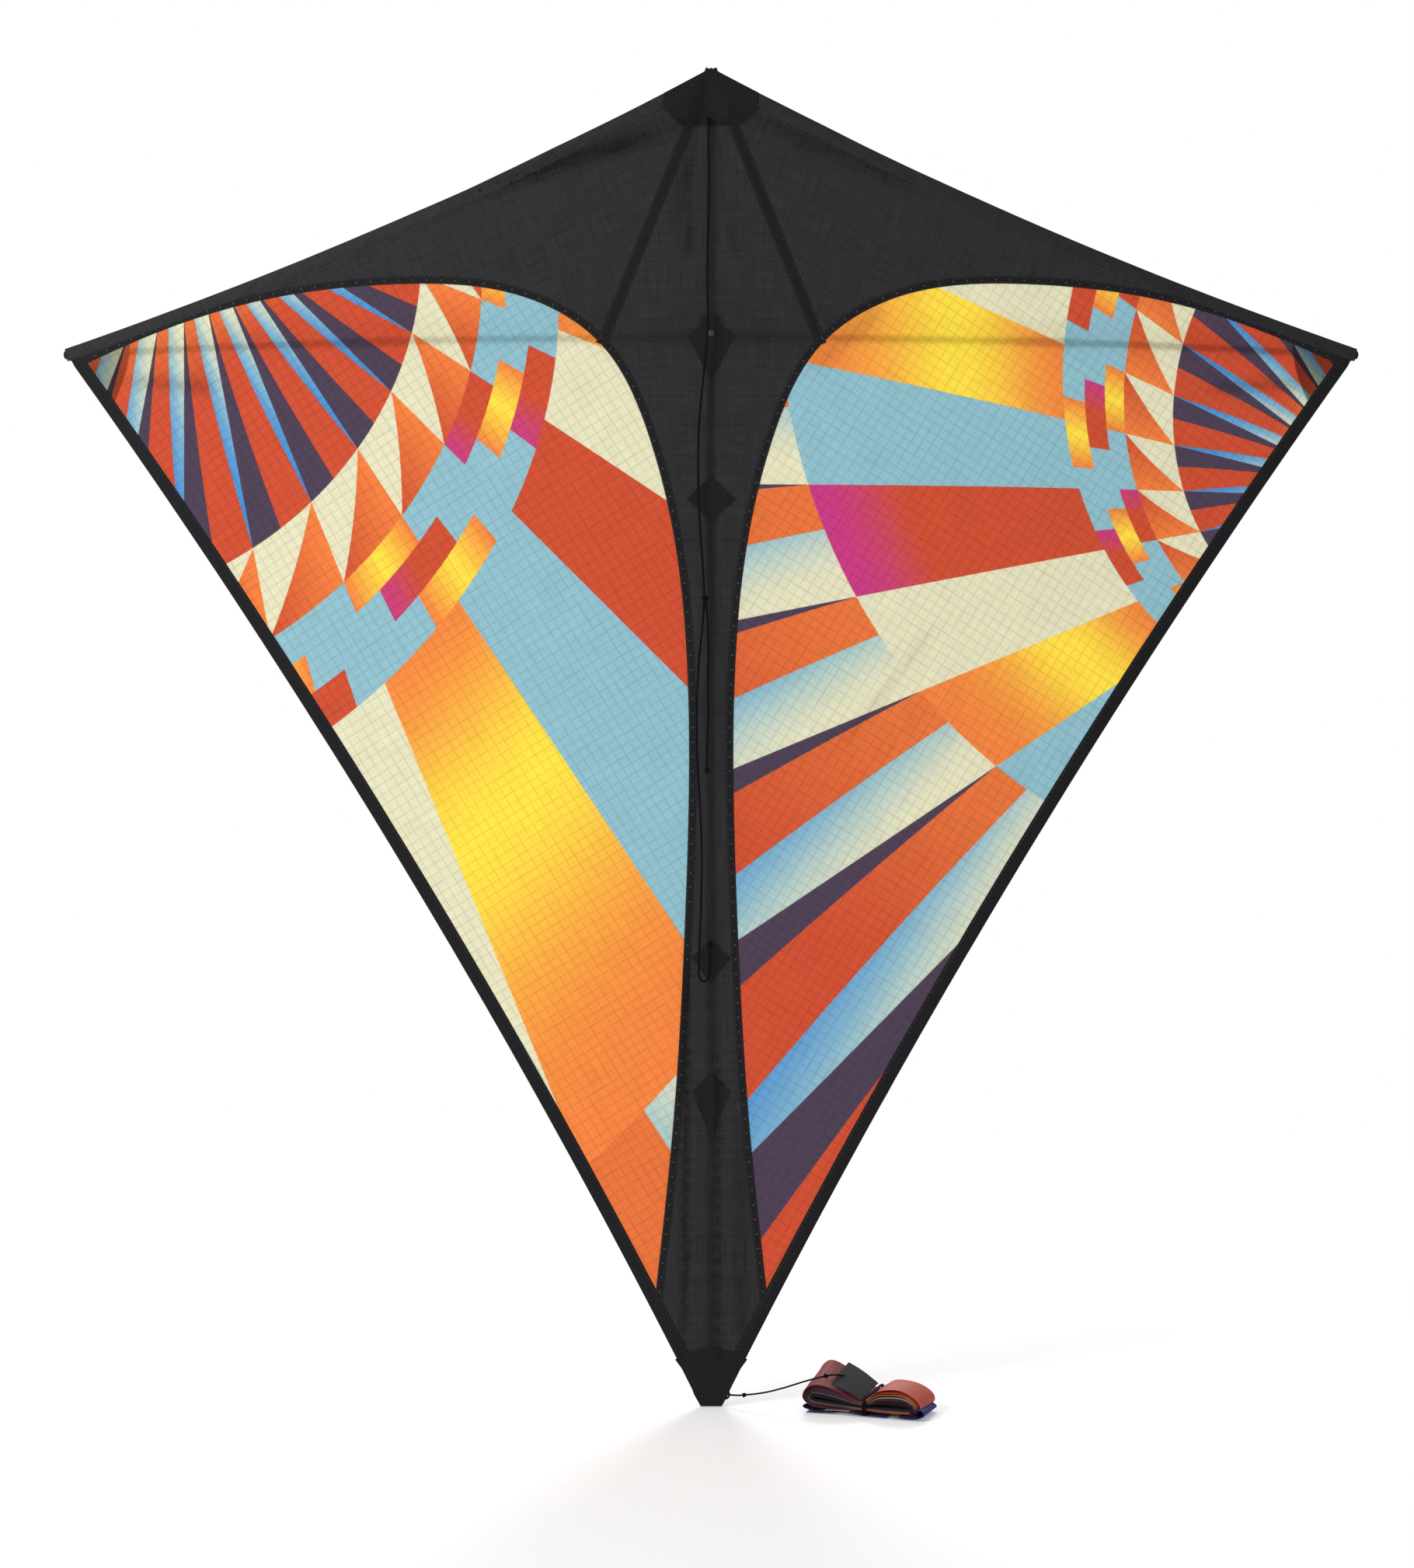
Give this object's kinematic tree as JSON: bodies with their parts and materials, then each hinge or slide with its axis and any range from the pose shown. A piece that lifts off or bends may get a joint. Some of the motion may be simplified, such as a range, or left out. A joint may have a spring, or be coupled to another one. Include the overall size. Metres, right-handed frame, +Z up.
{
  "type": "diamond kite",
  "caption": "Diamond kite with a bowed printed cloth sail, folding wings on a tube cross, a bridle line and a folded ribbon tail.",
  "frame": {"origin": "on the spine's axis at the height of the cross spar, inside the centre hub", "axes": "+Z up along the spine towards the nose, +X towards the right wing tip as seen from the printed face, -Y out of the printed face"},
  "size_m": [0.9006, 0.1638, 0.8871],
  "materials": {
    "ripstop_black": "black ripstop cloth, slightly see-through",
    "ripstop_print": null,
    "binding_tape": "black woven tape",
    "patch_cloth": "black doubled cloth",
    "pocket_webbing": "black webbing",
    "frame_tube": "black pultruded fibre tube, satin",
    "ferrule_metal": "brushed aluminium sleeve",
    "elastic_cord": "white elastic cord",
    "soft_moulding": "soft black moulding",
    "cap_plastic": "glossy black plastic",
    "button_grey": "grey moulded plastic",
    "line_black": "black braided line",
    "ribbon_cloth": "printed ripstop ribbon, red and orange",
    "tab_cloth": "charcoal stiff cloth",
    "tie_cord": "black elastic tie"
  },
  "bodies": {
    "root": {"bridle_line": "line_black", "bridle_patch": "patch_cloth", "centre_button": "button_grey", "centre_hub": "soft_moulding", "centre_strip": "ripstop_black", "leader_knots": "line_black", "lower_anchor": "line_black", "lower_patch": "patch_cloth", "middle_patch": "patch_cloth", "nose_cap": "cap_plastic", "nose_patch": "patch_cloth", "nose_pocket": "pocket_webbing", "pigtail_knot": "line_black", "spar_patch": "patch_cloth", "spine_elastic": "elastic_cord", "spine_ferrules": "ferrule_metal", "spine_keepers": "pocket_webbing", "spine_lower": "frame_tube", "spine_middle": "frame_tube", "spine_upper": "frame_tube", "tail_cap": "cap_plastic", "tail_eye": "line_black", "tail_leader": "line_black", "tail_patch": "patch_cloth", "tail_pocket": "pocket_webbing", "tail_ribbon": "ribbon_cloth", "tail_tab": "tab_cloth", "tail_tie": "tie_cord", "tow_knot": "line_black", "tow_pigtail": "line_black", "upper_anchor": "line_black"},
    "left_wing": {"left_centre_panel": "ripstop_black", "left_fitting_arm": "soft_moulding", "left_leading_hem": "binding_tape", "left_printed_panel": "ripstop_print", "left_seam_tapes": "binding_tape", "left_spar_elastic": "elastic_cord", "left_spar_ferrule": "ferrule_metal", "left_spar_inner": "frame_tube", "left_spar_outer": "frame_tube", "left_tip_backing": "patch_cloth", "left_tip_cap": "cap_plastic", "left_tip_pocket": "pocket_webbing", "left_trailing_binding": "binding_tape", "left_wing_panel": "ripstop_black"},
    "right_wing": {"right_centre_panel": "ripstop_black", "right_fitting_arm": "soft_moulding", "right_leading_hem": "binding_tape", "right_printed_panel": "ripstop_print", "right_seam_tapes": "binding_tape", "right_spar_elastic": "elastic_cord", "right_spar_ferrule": "ferrule_metal", "right_spar_inner": "frame_tube", "right_spar_outer": "frame_tube", "right_tip_backing": "patch_cloth", "right_tip_cap": "cap_plastic", "right_tip_pocket": "pocket_webbing", "right_trailing_binding": "binding_tape", "right_wing_panel": "ripstop_black"}
  },
  "joints": [
    {"name": "left_wing_fold", "type": "hinge", "parent": "root", "child": "left_wing", "pos_m": [-0.01, 0.006, 0], "axis": [0, 0, -1], "range_deg": [0, 74], "stiffness_Nm_per_rad": 0.05},
    {"name": "right_wing_fold", "type": "hinge", "parent": "root", "child": "right_wing", "pos_m": [0.01, 0.006, 0], "axis": [0, 0, 1], "range_deg": [0, 74], "stiffness_Nm_per_rad": 0.05}
  ]
}
